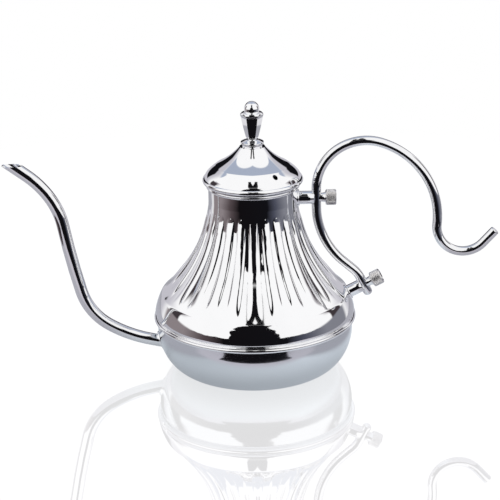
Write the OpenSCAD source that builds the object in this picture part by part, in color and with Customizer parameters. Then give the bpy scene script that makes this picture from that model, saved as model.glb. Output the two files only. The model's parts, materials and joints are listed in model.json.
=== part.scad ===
// Gooseneck kettle: a fluted body on a rounded bowl, a thin swan-neck spout, a lift-off lid
// and a bent-rod handle held on two posts by thumb screws.
// Millimetres. +Z is up, the spout points to -X and the handle to +X.
// The origin is the centre of the flat base, on the surface that the kettle stands on.

/* [Sheet] */
// Thickness of the bowl, body and lid sheet
sheet = 0.8; // [0.6:0.1:1.0]

/* [Bowl] */
// Radius of the bowl's wall at the seam
bowl_r = 63; // [60:0.5:66]
// Height of the seam above the base
bowl_h = 34; // [32:0.5:38]
// How far the flat base's edge stands inside the wall
base_in = 20; // [16:0.5:24]
// Height over which the wall rounds up from the base
bowl_round_h = 28; // [24:0.5:30]

/* [Seam] */
// How far the two joined flanges reach past the wall
seam_flange = 1; // [0.8:0.1:1.2]
// Radius of the rolled bead that closes the flanges
seam_bead_r = 1.4; // [1.3:0.1:1.8]
// How far the bead stands proud of the wall
seam_proud = 2; // [1.8:0.1:2.4]

/* [Body] */
// Height of the body from the seam to its mouth
body_h = 89; // [84:0.5:94]
// Height above the seam where the cove under the ridge starts
cove_h = 1.6; // [1.2:0.1:2]
// Height of the rounded ridge above the seam
ridge_h = 3.8; // [3.4:0.1:5]
// How far the ridge stands proud of the bowl's wall
ridge_proud = 1.2; // [0.6:0.1:1.6]
// How far inside the bowl's wall the shoulder turns into the flare
shoulder_in = 3.55; // [2:0.05:5]
// Height of that turn above the seam
shoulder_h = 16.6; // [14:0.2:18]
// Lean of the flare from upright at the shoulder, in degrees
flare_lean = 50.4; // [46:0.2:54]
// Reach of the flare's curve from the shoulder
flare_low = 27; // [24:0.5:30]
// Reach of the flare's curve from the neck
flare_high = 20.6; // [17:0.2:24]
// Radius of the neck
neck_r = 28.3; // [27:0.1:30]
// Length of the straight neck below the mouth
neck_l = 10.1; // [8:0.1:14]
// How far the half-round mouth band stands proud of the neck
mouth_proud = 1.3; // [1:0.1:1.6]

/* [Ribs] */
// Number of raised ribs round the body
rib_count = 24; // [18:1:30]
// Width of one rib, in degrees
rib_width = 9; // [6:0.5:10]
// How far a rib stands proud of the body
rib_proud = 1; // [0.6:0.1:1.4]
// Height of the ribs' lower ends above the seam
rib_low_h = 17; // [16.5:0.5:22]
// Distance of the ribs' upper ends below the mouth
rib_top_drop = 15.5; // [13:0.5:20]
// Height over which a rib rises at its lower end
rib_low_run = 3; // [2:0.5:6]
// Height over which a rib rises at its upper end
rib_top_run = 9; // [6:0.5:14]

/* [Lid] */
// Radius of the lid's rolled hem, over all
hem_r = 31.8; // [31:0.1:33]
// Radius of the rolled bead in the hem
hem_bead_r = 1.7; // [1.5:0.1:1.9]
// Radius of the crease between the dome and the cone
crease_r = 23.3; // [20:0.1:25]
// Height of the crease above the mouth
crease_h = 12; // [10:0.1:13]
// Reach of the dome's steep curve up from the hem
dome_low = 3.6; // [2:0.2:5]
// Reach of the dome's curve down from the crease
dome_high = 3.3; // [2:0.1:4.5]
// Slope of the dome at the crease, in degrees
dome_slope = 39; // [32:1:44]
// Radius of the flat top of the cone
cone_top_r = 8; // [7.4:0.1:9]
// Height of that flat top above the mouth
cone_top_h = 24.1; // [22:0.1:26]
// How far the cone is hollowed from a straight slope
cone_hollow = 1; // [0.4:0.1:1.4]
// Height of the hem's bead above the skirt's flange
hem_rise = 1.6; // [1.2:0.1:1.7]
// Radius of the steam vent
vent_r = 1.6; // [1:0.1:2]
// Distance of the vent from the lid's axis
vent_at = 25.8; // [25:0.1:28]
// Place of the vent round the lid, in degrees from the handle
vent_turn = -57.4; // [-90:0.1:90]
// Length of the lid's skirt below the mouth
skirt_drop = 10; // [7:0.5:14]
// Thickness of the skirt's flange, on which the lid rests
skirt_flange = 0.8; // [0.6:0.1:1.2]
// Room between the skirt and the neck
skirt_gap = 0.35; // [0.3:0.05:0.6]

/* [Finial] */
// Radius of the collar under the knob
collar_r = 7.35; // [6.6:0.05:8]
// Height of the collar
collar_h = 4.6; // [3.8:0.1:5]
// Height of one step of the collar's foot
collar_step_h = 0.8; // [0.6:0.1:1]
// Radius of the knob's waist
waist_r = 2.9; // [2.6:0.1:3.4]
// Radius of the knob's crown, over its corners
crown_r = 7.3; // [6.6:0.1:8]
// Height of the knob's round foot on the collar
knob_foot_h = 1; // [0.6:0.1:1.6]
// How far the collar's top and the six-sided body stand past the waist
knob_flare = 1; // [0.6:0.1:1.4]
// Height of the six-sided body from the waist to the crown
knob_body_h = 15.4; // [13:0.2:17]
// Height of the crown's slope up to the cap
crown_step_h = 2.2; // [1.6:0.1:2.8]
// Radius of the domed cap
cap_r = 4.7; // [4:0.05:5.4]
// Height of the cap's centre above the crown's edge
cap_lift = 3.4; // [2.6:0.1:4]
// Number of sides of the knob's body
knob_sides = 6; // [5:1:8]
// Radius of the screw that holds the knob
finial_screw_r = 1.5; // [1.2:0.1:2]
// Radius of that screw's head
finial_head_r = 2.8; // [2.4:0.1:3.4]
// Height of that screw's head
finial_head_h = 2; // [1.5:0.1:2.5]
// Radius of the washer under the lid
washer_r = 4.4; // [3.8:0.1:5]
// Thickness of that washer
washer_h = 0.8; // [0.6:0.1:1]
// Length of that screw in the knob
finial_screw_grip = 8; // [6:0.5:12]

/* [Spout] */
// Outer radius of the spout
spout_r = 4; // [3.6:0.1:4.6]
// Wall of the spout
spout_wall = 0.7; // [0.5:0.1:0.9]
// Height at which the spout leaves the bowl
spout_root_z = 16; // [14:0.2:20]
// Rise of the spout where it leaves the bowl, in degrees
spout_rise = 11.7; // [8:0.1:18]
// How far the spout starts inside the bowl's outer face
spout_inset = 3; // [2:0.5:4]
// Straight stretch outside the bowl
spout_straight_l = 6.8; // [5:0.1:10]
// Radius of the spout's first bend
root_bend_r = 82; // [70:1:90]
// Angle of that bend
root_bend_a = 20; // [18:0.2:30]
// Radius of the spout's low bend
low_bend_r = 39.5; // [34:0.5:44]
// Angle of the low bend
low_bend_a = 43.4; // [38:0.2:46]
// Radius of the long, nearly straight stretch up
rise_bend_r = 510; // [450:1:560]
// Angle of that stretch
rise_bend_a = 5.1; // [4:0.1:7]
// Radius of the spout's upper bend
high_bend_r = 51.3; // [46:0.1:60]
// Angle of the upper bend
high_bend_a = 23.9; // [20:0.1:28]
// Radius of the bend at the tip
tip_bend_r = 60; // [56:1:68]
// Angle of the bend at the tip
tip_bend_a = 19.5; // [18:0.1:24]
// Rise of the straight tip to its level cut
tip_h = 6.4; // [4:0.1:8]
// Radius of the plate brazed round the spout's root
spout_plate_r = 6; // [5.5:0.1:8]

/* [Handle] */
// Radius of the bent rod
rod_r = 3; // [2.6:0.1:3.4]
// Distance from the neck to the rod's axis at the upper post
upper_reach = 11.8; // [10:0.2:14]
// Distance of the upper post below the mouth
upper_post_drop = 10.5; // [9:0.5:12]
// How far inside the bowl's wall the lower post's axis starts
lower_post_in = 3.4; // [2:0.1:5]
// Distance from that start to the rod's axis at the lower post
lower_reach = 12.1; // [10:0.1:14]
// Height of the lower post's axis above the seam at that start
lower_post_h = 13.75; // [12:0.05:15]
// Rise of the lower post, in degrees
lower_post_rise = 27; // [24:1:32]
// Straight stretch of rod to each side of a post
rod_straight_l = 5.8; // [5:0.1:7]
// Angle of the bend below the upper post
back_bend_a = 49; // [46:0.5:54]
// Radius of the bend above the lower post
foot_bend_r = 17.4; // [14:0.2:24]
// Length of rod below the lower post
rod_foot_l = 8; // [7:0.5:12]
// Radius of the rod's bend over the top
top_bend_r = 31.2; // [29:0.1:34]
// Angle of the bend over the top
top_bend_a = 108.4; // [106:0.1:114]
// Radius of the bend down to the hook
down_bend_r = 52.6; // [50:0.1:58]
// Angle of the bend down to the hook
down_bend_a = 76.8; // [72:0.1:80]
// Radius of the hook
hook_bend_r = 17; // [15:0.2:19]
// Angle of the hook
hook_bend_a = 142.8; // [130:0.1:150]
// Straight end of the hook
hook_end_l = 11.6; // [8:0.1:16]

/* [Posts] */
// Radius of a post
post_r = 4.2; // [4:0.05:4.6]
// Radius of the plate at a post's foot
post_plate_r = 5.2; // [4.8:0.1:5.8]
// Thickness of the plates at the feet of the posts and the spout
plate = 1; // [0.8:0.1:1.4]
// How deep a post and a saddle hold the rod
saddle_depth = 1.4; // [1:0.1:1.8]

/* [Thumb screws] */
// Radius of the screw's shank
shank_r = 2; // [1.8:0.1:2.2]
// Pitch of its thread
thread_pitch = 0.7; // [0.5:0.1:1]
// Length of shank in the post
thread_grip = 6; // [5:0.5:6.5]
// Radius of the knurled head
head_r = 5; // [4.6:0.1:5.6]
// Length of the knurled head
head_l = 6.7; // [5.5:0.1:8]
// Chamfer of the head's edges
head_chamfer = 0.5; // [0.3:0.1:0.8]
// Distance from the rod's axis to the head
head_stand = 5.85; // [5:0.05:7]
// Radius of the saddle at the rod
saddle_r1 = 2.8; // [2.6:0.1:3.2]
// Radius of the saddle at the head
saddle_r2 = 3.4; // [3:0.1:4]

/* [Fits] */
// Radial clearance of a turning shank
run_gap = 0.06; // [0.03:0.01:0.09]
// Room between the rod and a saddle that lifts off it
seat_gap = 0.1; // [0.05:0.05:0.2]
// Room at the blind end of a post's bore
bore_end_gap = 0.6; // [0.4:0.1:1]

/* [Hidden] */
$fn = 96;
curve_steps = 14;
bar_sides = 16;
bend_step = 10;
EPS = 0.01;
// Length of a cutting shape, longer than anything that it cuts through
cut_l = 12;

seam_z = bowl_h;
mouth_z = seam_z + body_h;
neck_in = neck_r - sheet;
base_r = bowl_r - base_in;

// ---- curves -------------------------------------------------------------------------

// Point on a cubic curve with ends a, d and handles b, c
function cubic(a, b, c, d, t) =
    pow(1 - t, 3) * a + 3 * pow(1 - t, 2) * t * b + 3 * (1 - t) * t * t * c + pow(t, 3) * d;

// Points on a cubic curve, without its first point
function cubic_points(a, b, c, d, n) = [for (i = [1 : n]) cubic(a, b, c, d, i / n)];

// Points from a to b, pushed sideways by a parabola of the given height
function bowed(a, b, bow, n) =
    let (along = b - a, side = [along[1], -along[0]] / norm(along))
    [for (i = [0 : n]) let (t = i / n) a + t * along + 4 * t * (1 - t) * bow * side];

// Unit normal of an outline at point i, to the right of its direction
function normal_at(pts, i) =
    let (last = len(pts) - 1,
         d = pts[min(i + 1, last)] - pts[max(i - 1, 0)])
    [d[1], -d[0]] / norm(d);

// The outline moved along its normals
function shifted(pts, by) = [for (i = [0 : len(pts) - 1]) pts[i] + by * normal_at(pts, i)];

function reversed(pts) = [for (i = [len(pts) - 1 : -1 : 0]) pts[i]];

// ---- profiles, as radius and height, from the bottom up -------------------------------

bowl_steps = 12;
bowl_curve = [for (i = [0 : bowl_steps]) let (a = 90 * i / bowl_steps)
    [base_r + (bowl_r - base_r) * sin(a), bowl_round_h * (1 - cos(a))]];
function bowl_r_at(z) =
    base_r + (bowl_r - base_r) * sqrt(1 - pow(1 - min(z, bowl_round_h) / bowl_round_h, 2));

ridge = [bowl_r + ridge_proud, seam_z + ridge_h];
shoulder = [bowl_r - shoulder_in, seam_z + shoulder_h];
lean = [-sin(flare_lean), cos(flare_lean)];
neck_start = [neck_r, mouth_z - neck_l];
shoulder_reach = 2;
ridge_reach = 2.6;
body_curve = concat(
    [[bowl_r, seam_z + cove_h], ridge],
    cubic_points(ridge, ridge + [0, ridge_reach], shoulder - shoulder_reach * lean, shoulder, 5),
    cubic_points(shoulder, shoulder + flare_low * lean, neck_start - [0, flare_high],
                 neck_start, curve_steps));

crease = [crease_r, mouth_z + crease_h];
hem_z = mouth_z + skirt_flange + hem_rise;
hem_mid_r = hem_r - hem_bead_r;
dome_start = [hem_mid_r, hem_z] + 0.75 * hem_bead_r * [0.4, 1];
cone_top = [cone_top_r, mouth_z + cone_top_h];
dome_end = crease + dome_high * [cos(dome_slope), -sin(dome_slope)];
lid_curve = concat([dome_start], cubic_points(dome_start, dome_start + [0, dome_low], dome_end, crease, 8),
                   [for (i = [1 : 6]) bowed(crease, cone_top, -cone_hollow, 6)[i]]);

// ---- paths of the bent tube and rod ---------------------------------------------------

// A path is a list of [radius, angle] bends and [length, 0] straights in the XZ plane.
// A positive angle turns left as seen from the front. A state is [x, z, heading].
function step_end(s, seg) = seg[1] == 0
    ? [s[0] + seg[0] * cos(s[2]), s[1] + seg[0] * sin(s[2]), s[2]]
    : let (side = sign(seg[1]), h2 = s[2] + seg[1])
      [s[0] + side * seg[0] * (sin(h2) - sin(s[2])), s[1] - side * seg[0] * (cos(h2) - cos(s[2])), h2];
function path_end(s, path, n) = n == 0 ? s : step_end(path_end(s, path, n - 1), path[n - 1]);

// States along a path, close enough for a smooth sweep
function path_states(s, path, i = 0) = i == len(path) ? [s] :
    let (seg = path[i], n = seg[1] == 0 ? 1 : ceil(abs(seg[1]) / bend_step))
    concat([for (k = [0 : n - 1]) k == 0 ? s : step_end(s, [seg[0], seg[1] * k / n])],
           path_states(step_end(s, seg), path, i + 1));

// Points of a ring of radius r square to the path at a state
function ring_at(s, r) = [for (j = [0 : bar_sides - 1]) let (a = 360 * j / bar_sides)
    [s[0] - r * cos(a) * sin(s[2]), r * sin(a), s[1] + r * cos(a) * cos(s[2])]];

// Faces between ring a and ring b of a point list, facing outwards for a list that runs along a path
function band(a, b) = [for (j = [0 : bar_sides - 1]) let (k = (j + 1) % bar_sides)
    [a * bar_sides + j, b * bar_sides + j, b * bar_sides + k, a * bar_sides + k]];

// A round bar through a list of rings
module bar_through(rings) {
    last = len(rings) - 1;
    polyhedron(
        points = [for (ring = rings) each ring],
        faces = concat(
            [[for (j = [0 : bar_sides - 1]) j]],
            [for (i = [0 : last - 1]) each band(i, i + 1)],
            [[for (j = [bar_sides - 1 : -1 : 0]) last * bar_sides + j]]));
}

// A round tube: out along the outer rings and back along the inner ones
module tube_through(outer, inner) {
    rings = concat(outer, reversed(inner));
    count = len(rings);
    polyhedron(
        points = [for (ring = rings) each ring],
        faces = [for (i = [0 : count - 1]) each band(i, (i + 1) % count)]);
}

// A round bar of length l and radius r along X from the origin
module along_x(l, r) { rotate([0, 90, 0]) cylinder(h = l, r = r); }

// Moves its children to a state, with the local X axis along the heading
module at_state(s) { translate([s[0], 0, s[1]]) rotate([0, -s[2], 0]) children(); }

// ---- handle ---------------------------------------------------------------------------

upper_mount = [neck_r + upper_reach, mouth_z - upper_post_drop];
lower_axis = [cos(lower_post_rise), sin(lower_post_rise)];
lower_start = [bowl_r - lower_post_in, seam_z + lower_post_h];
lower_mount = lower_start + lower_reach * lower_axis;
foot_heading = lower_post_rise - 90;
back_heading = back_bend_a - 90;
foot_bend = [foot_bend_r, foot_heading - back_heading];
// Where the rod would pass the lower post without its back bend and the slope below it
foot_start = path_end([0, 0, back_heading], [foot_bend, [rod_straight_l, 0]], 2);
// What the back bend and the slope must cover, and the two sizes that cover it
span_x = lower_mount[0] - upper_mount[0] - foot_start[0];
span_z = upper_mount[1] - lower_mount[1] - rod_straight_l + foot_start[1];
bx = 1 - cos(back_bend_a);
bz = sin(back_bend_a);
sx = cos(back_heading);
sz = -sin(back_heading);
back_bend_r = (span_x * sz - span_z * sx) / (bx * sz - bz * sx);
slope_l = (span_z * bx - span_x * bz) / (bx * sz - bz * sx);

up_path = [[rod_straight_l, 0], [top_bend_r, -top_bend_a], [down_bend_r, -down_bend_a],
           [hook_bend_r, hook_bend_a], [hook_end_l, 0]];
down_path = [[rod_straight_l, 0], [back_bend_r, back_bend_a], [slope_l, 0], foot_bend,
             [rod_straight_l + rod_foot_l, 0]];
foot_end = path_end([upper_mount[0], upper_mount[1], -90], down_path, len(down_path));
rod_path = concat([for (i = [len(down_path) - 1 : -1 : 0]) [down_path[i][0], -down_path[i][1]]], up_path);
rod_start = [foot_end[0], foot_end[1], foot_end[2] + 180];

// ---- spout ----------------------------------------------------------------------------

wall_x = bowl_r_at(spout_root_z);
spout_start = [-(wall_x - spout_inset), spout_root_z - spout_inset * tan(spout_rise), 180 - spout_rise];
spout_path = [[spout_straight_l + spout_inset, 0], [root_bend_r, -root_bend_a], [low_bend_r, -low_bend_a],
              [rise_bend_r, -rise_bend_a], [high_bend_r, high_bend_a], [tip_bend_r, tip_bend_a]];
spout_end = path_end(spout_start, spout_path, len(spout_path));
tip_z = spout_end[1] + tip_h;

// The spout's rings at radius r, the last one carried straight on to the level cut at the tip
function spout_rings(r) =
    let (rings = [for (s = path_states(spout_start, spout_path)) ring_at(s, r)],
         ahead = [cos(spout_end[2]), 0, sin(spout_end[2])])
    concat(rings, [[for (p = rings[len(rings) - 1]) p + (tip_z - p[2]) / ahead[2] * ahead]]);

// ---- bowl and body --------------------------------------------------------------------

module base_bowl() color("lightsteelblue") difference() {
    rotate_extrude() polygon(concat(
        [[0, 0]], bowl_curve,
        [[bowl_r, seam_z - sheet], [bowl_r + seam_flange, seam_z - sheet],
         [bowl_r + seam_flange, seam_z], [bowl_r - sheet, seam_z]],
        reversed(shifted(bowl_curve, -sheet)), [[0, sheet]]));
    at_state(spout_start) translate([-cut_l, 0, 0]) along_x(2 * cut_l, spout_r);
}

// Turn of rib i from the handle, from -180 to 180. Rib 0 faces the front.
function rib_turn(i) = (360 * i / rib_count + 90) % 360 - 180;

module rib(i) {
    strip = [for (p = body_curve) if (p[1] > seam_z + rib_low_h && p[1] < mouth_z - rib_top_drop) p];
    last = len(strip) - 1;
    function rise(k) = rib_proud * min(1, (strip[k][1] - strip[0][1]) / rib_low_run,
                                       (strip[last][1] - strip[k][1]) / rib_top_run);
    rotate([0, 0, rib_turn(i) - rib_width / 2]) rotate_extrude(angle = rib_width) polygon(concat(
        [for (k = [0 : last]) strip[k] + rise(k) * normal_at(strip, k)],
        reversed(shifted(strip, -sheet / 2))));
}

module upper_shell() color("gainsboro") {
    outer = concat(body_curve, [[neck_r, mouth_z]]);
    inner = concat(shifted(body_curve, -sheet), [[neck_in, mouth_z]]);
    rotate_extrude() polygon(concat(
        [[bowl_r + seam_flange, seam_z], [bowl_r + seam_flange, seam_z + sheet],
         [bowl_r, seam_z + sheet]],
        outer, reversed(inner), [[bowl_r - sheet, seam_z]]));
    for (i = [0 : rib_count - 1]) rib(i);
}

module seam_ring() color("silver") rotate_extrude() difference() {
    translate([bowl_r + seam_proud - seam_bead_r, seam_z]) circle(r = seam_bead_r, $fn = 48);
    translate([bowl_r - cut_l, seam_z - cut_l]) square([cut_l, 2 * cut_l]);
    translate([bowl_r, seam_z - sheet]) square([seam_flange, 2 * sheet]);
}

module mouth_ring() color("silver") rotate_extrude() intersection() {
    translate([neck_r, mouth_z - mouth_proud]) circle(r = mouth_proud, $fn = 48);
    translate([neck_r, mouth_z - 3 * mouth_proud]) square([2 * mouth_proud, 3 * mouth_proud]);
}

// ---- spout ----------------------------------------------------------------------------

module spout_tube() color("silver")
    tube_through(spout_rings(spout_r), spout_rings(spout_r - spout_wall));

module spout_plate() color("silver") difference() {
    intersection() {
        rotate_extrude() polygon(concat(shifted(bowl_curve, plate), reversed(bowl_curve)));
        at_state(spout_start) translate([-cut_l, 0, 0]) along_x(2 * cut_l, spout_plate_r);
    }
    at_state(spout_start) translate([-cut_l, 0, 0]) along_x(2 * cut_l, spout_r);
}

// ---- handle, posts and screws ---------------------------------------------------------

module at_upper_mount() translate([upper_mount[0], 0, upper_mount[1]]) children();
module at_lower_mount() translate([lower_mount[0], 0, lower_mount[1]])
    rotate([0, -lower_post_rise, 0]) children();

post_reach = rod_r - saddle_depth;
bore_l = thread_grip + bore_end_gap;
shank_l = head_stand + post_reach + thread_grip;

// Everything inside the body's outer surface, with the plates' thickness added
module body_solid(grow) rotate_extrude() polygon(concat(
    [[0, seam_z + sheet]], shifted(body_curve, grow),
    [[neck_r + grow, mouth_z], [0, mouth_z]]));

// A post of length l that holds the rod at the origin, with the screw's blind bore
module post_bar(l) difference() {
    translate([-l, 0, 0]) along_x(l - post_reach, post_r);
    cylinder(h = 2 * cut_l, r = rod_r, center = true);
    translate([-post_reach - bore_l, 0, 0]) along_x(bore_l + cut_l, shank_r + run_gap);
}

module upper_post() color("silver") difference() {
    at_upper_mount() post_bar(upper_reach + cut_l / 3);
    body_solid(plate);
}

module lower_post() color("silver") difference() {
    at_lower_mount() post_bar(lower_reach + cut_l / 3);
    body_solid(plate);
}

// The thickness of a plate on the body's face, without the body itself
module body_skin() difference() {
    body_solid(plate);
    body_solid(0);
    for (i = [0 : rib_count - 1]) if (abs(rib_turn(i)) < 20) rib(i);
}

module upper_post_plate() color("silver") intersection() {
    body_skin();
    at_upper_mount() translate([-upper_reach - cut_l / 2, 0, 0]) along_x(cut_l, post_plate_r);
}

module lower_post_plate() color("silver") intersection() {
    body_skin();
    at_lower_mount() translate([-lower_reach - cut_l / 3, 0, 0]) along_x(cut_l, post_plate_r);
}

module handle_rod() color("silver") difference() {
    bar_through([for (s = path_states(rod_start, rod_path)) ring_at(s, rod_r)]);
    at_upper_mount() translate([-cut_l, 0, 0]) along_x(2 * cut_l, shank_r + run_gap);
    at_lower_mount() translate([-cut_l, 0, 0]) along_x(2 * cut_l, shank_r + run_gap);
}

module saddle() difference() {
    translate([post_reach, 0, 0]) rotate([0, 90, 0])
        cylinder(h = head_stand - post_reach, r1 = saddle_r1, r2 = saddle_r2);
    cylinder(h = 2 * cut_l, r = rod_r + seat_gap, center = true);
    along_x(cut_l, shank_r + run_gap);
}

module thumb_screw() {
    translate([head_stand - shank_l, 0, 0]) along_x(shank_l + 1, shank_r);
    translate([head_stand, 0, 0]) rotate([0, 90, 0]) rotate_extrude() polygon([
        [0, 0], [head_r - head_chamfer, 0], [head_r, head_chamfer],
        [head_r, head_l - head_chamfer], [head_r - head_chamfer, head_l], [0, head_l]]);
}

module upper_saddle() color("silver") at_upper_mount() saddle();
module lower_saddle() color("silver") at_lower_mount() saddle();
module upper_thumb_screw() color("darkgray") at_upper_mount() thumb_screw();
module lower_thumb_screw() color("darkgray") at_lower_mount() thumb_screw();

// ---- lid and finial -------------------------------------------------------------------

module lid_shell() color("gainsboro") difference() {
    rotate_extrude() union() {
        intersection() {
            translate([hem_mid_r, hem_z]) circle(r = hem_bead_r, $fn = 48);
            translate([hem_mid_r - cut_l, mouth_z + skirt_flange]) square(2 * cut_l);
        }
        polygon(concat(lid_curve, [[finial_screw_r, cone_top[1]],
                                   [finial_screw_r, cone_top[1] - sheet],
                                   [cone_top_r - sheet, cone_top[1] - sheet]],
                       reversed([for (i = [0 : len(lid_curve) - 2]) shifted(lid_curve, -sheet)[i]])));
    }
    rotate([0, 0, vent_turn]) translate([vent_at, 0, mouth_z]) cylinder(h = cone_top_h, r = vent_r);
}

skirt_out = neck_in - skirt_gap;
module lid_skirt() color("gainsboro") rotate_extrude() polygon([
    [skirt_out - sheet, mouth_z - skirt_drop], [skirt_out, mouth_z - skirt_drop],
    [skirt_out, mouth_z], [hem_mid_r, mouth_z], [hem_mid_r, mouth_z + skirt_flange],
    [skirt_out - sheet, mouth_z + skirt_flange]]);

finial_z = cone_top[1];
waist_z = finial_z + collar_h;
crown_z = waist_z + knob_foot_h + knob_body_h;

module finial_collar() color("silver") rotate_extrude() polygon([
    [finial_screw_r, finial_z], [collar_r - collar_step_h, finial_z],
    [collar_r - collar_step_h / 2, finial_z + 2 * collar_step_h],
    [collar_r, finial_z + 2.75 * collar_step_h], [collar_r, finial_z + 3.5 * collar_step_h],
    [collar_r - collar_step_h, finial_z + 4.25 * collar_step_h],
    [waist_r + knob_flare, waist_z], [finial_screw_r, waist_z]]);

module finial_knob() color("silver") difference() {
    union() {
        translate([0, 0, waist_z]) cylinder(h = knob_foot_h + EPS, r = waist_r);
        translate([0, 0, waist_z + knob_foot_h])
            cylinder(h = knob_body_h, r1 = waist_r + knob_flare, r2 = crown_r, $fn = knob_sides);
        translate([0, 0, crown_z - EPS])
            cylinder(h = crown_step_h, r1 = crown_r * cos(90 / knob_sides), r2 = cap_r, $fn = 48);
        translate([0, 0, crown_z + cap_lift]) sphere(r = cap_r, $fn = 48);
    }
    translate([0, 0, waist_z - 1])
        cylinder(h = 1 + finial_screw_grip + bore_end_gap, r = finial_screw_r);
}

module finial_washer() color("silver") translate([0, 0, finial_z - sheet - washer_h]) difference() {
    cylinder(h = washer_h, r = washer_r);
    translate([0, 0, -1]) cylinder(h = washer_h + 2, r = finial_screw_r);
}

module finial_screw() color("darkgray") {
    top = waist_z + finial_screw_grip;
    bottom = finial_z - sheet - washer_h;
    translate([0, 0, bottom]) cylinder(h = top - bottom, r = finial_screw_r);
    translate([0, 0, bottom - finial_head_h]) cylinder(h = finial_head_h, r = finial_head_r);
}

base_bowl();
upper_shell();
seam_ring();
mouth_ring();
spout_tube();
spout_plate();
upper_post_plate();
upper_post();
lower_post_plate();
lower_post();
handle_rod();
upper_saddle();
upper_thumb_screw();
lower_saddle();
lower_thumb_screw();
lid_shell();
lid_skirt();
finial_collar();
finial_knob();
finial_screw();
finial_washer();
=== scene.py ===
"""A polished gooseneck kettle: fluted body, rounded bowl, swan-neck spout, lift-off lid, bent-rod handle."""

import json
from math import acos, asin, atan2, ceil, cos, degrees, hypot, pi, radians, sin, sqrt, tan, tau

import bmesh
import bpy
from mathutils import Matrix, Vector


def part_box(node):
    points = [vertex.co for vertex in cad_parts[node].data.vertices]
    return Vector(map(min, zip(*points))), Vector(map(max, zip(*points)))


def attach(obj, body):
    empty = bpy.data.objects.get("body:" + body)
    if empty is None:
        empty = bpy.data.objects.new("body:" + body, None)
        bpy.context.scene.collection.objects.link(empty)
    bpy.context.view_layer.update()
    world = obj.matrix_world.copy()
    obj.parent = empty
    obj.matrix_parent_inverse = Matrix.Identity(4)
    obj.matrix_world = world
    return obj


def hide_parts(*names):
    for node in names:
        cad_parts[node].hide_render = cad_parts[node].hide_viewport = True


bl_info = {
    "name": "Gooseneck Kettle",
    "version": (1, 0, 0),
    "blender": (4, 5, 0),
    "location": "View3D > Sidebar > Kettle",
    "description": "Builds a polished gooseneck kettle on its packed frame",
    "category": "Add Mesh",
}

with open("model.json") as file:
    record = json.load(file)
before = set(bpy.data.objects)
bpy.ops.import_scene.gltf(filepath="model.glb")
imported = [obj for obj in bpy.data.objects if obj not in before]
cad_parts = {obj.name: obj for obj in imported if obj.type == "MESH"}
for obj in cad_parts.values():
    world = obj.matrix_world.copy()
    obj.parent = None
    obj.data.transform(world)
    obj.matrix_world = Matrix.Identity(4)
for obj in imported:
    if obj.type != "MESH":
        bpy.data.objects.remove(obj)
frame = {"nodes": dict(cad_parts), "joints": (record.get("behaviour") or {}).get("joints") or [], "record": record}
MM = 0.001


def span(node, axis):
    low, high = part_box(node)
    return low[axis], high[axis]


# ---- sizes and finishes that a user would change ------------------------------------------

def length(name, description, default):
    return bpy.props.FloatProperty(
        name=name, description=description, default=default, unit="LENGTH", precision=5)


def tint(name, description, default):
    return bpy.props.FloatVectorProperty(
        name=name, description=description, default=default, size=3, subtype="COLOR", min=0, max=1)


class KettleSizes(bpy.types.PropertyGroup):
    sheet: length("Sheet", "Thickness of the bowl, body and lid sheet", 0.8 * MM)
    bowl_r: length("Bowl radius", "Radius of the wall at the seam", span("base_bowl", 0)[1] - 1 * MM)
    base_r: length("Base radius", "Radius of the flat base", 43 * MM)
    round_h: length("Bowl rounding", "Height over which the wall rounds up", 28 * MM)
    seam_z: length("Seam height", "Height of the seam", span("base_bowl", 2)[1])
    mouth_z: length("Mouth height", "Height of the body's mouth", span("upper_shell", 2)[1])
    neck_r: length("Neck radius", "Radius of the straight neck", 28.3 * MM)
    rib_count: bpy.props.IntProperty(
        name="Ribs", description="Number of ribs pressed out of the body", default=24, min=6, max=60)
    rib_proud: length("Rib height", "How far a rib stands proud", 1.0 * MM)
    rib_low: length("Rib foot", "Height of the ribs' lower ends", 51 * MM)
    rib_high: length("Rib top", "Height of the ribs' upper ends", 107.5 * MM)
    spout_r: length("Spout radius", "Outer radius of the spout", 4 * MM)
    spout_wall: length("Spout wall", "Wall of the spout", 0.7 * MM)
    rod_r: length("Rod radius", "Radius of the bent rod", 3 * MM)
    knurl_depth: length("Knurl depth", "Depth of the knurl on the screw heads", 0.22 * MM)
    knurl_count: bpy.props.IntProperty(
        name="Knurl teeth", description="Teeth round a screw head", default=36, min=12, max=80)


class KettleFinishes(bpy.types.PropertyGroup):
    steel: tint("Polished steel", "Colour of the mirror-polished sheet", (0.95, 0.95, 0.96))
    bowl: tint("Bowl steel", "Colour of the spun bowl", (0.80, 0.825, 0.85))
    bar: tint("Bar steel", "Colour of the rod and the spout", (0.91, 0.91, 0.92))
    knurl: tint("Knurled steel", "Colour of the screw heads", (0.86, 0.84, 0.83))
    # the table's tint as the kettle sees it: the table glows in it as painted light, and the camera sees the table
    # white
    floor: tint("Floor", "Colour of the table", (0.72, 0.765, 0.82))


def sizes():
    return bpy.context.scene.kettle_sizes


def finishes():
    return bpy.context.scene.kettle_finishes


# ---- node trees written as expressions ----------------------------------------------------

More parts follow.
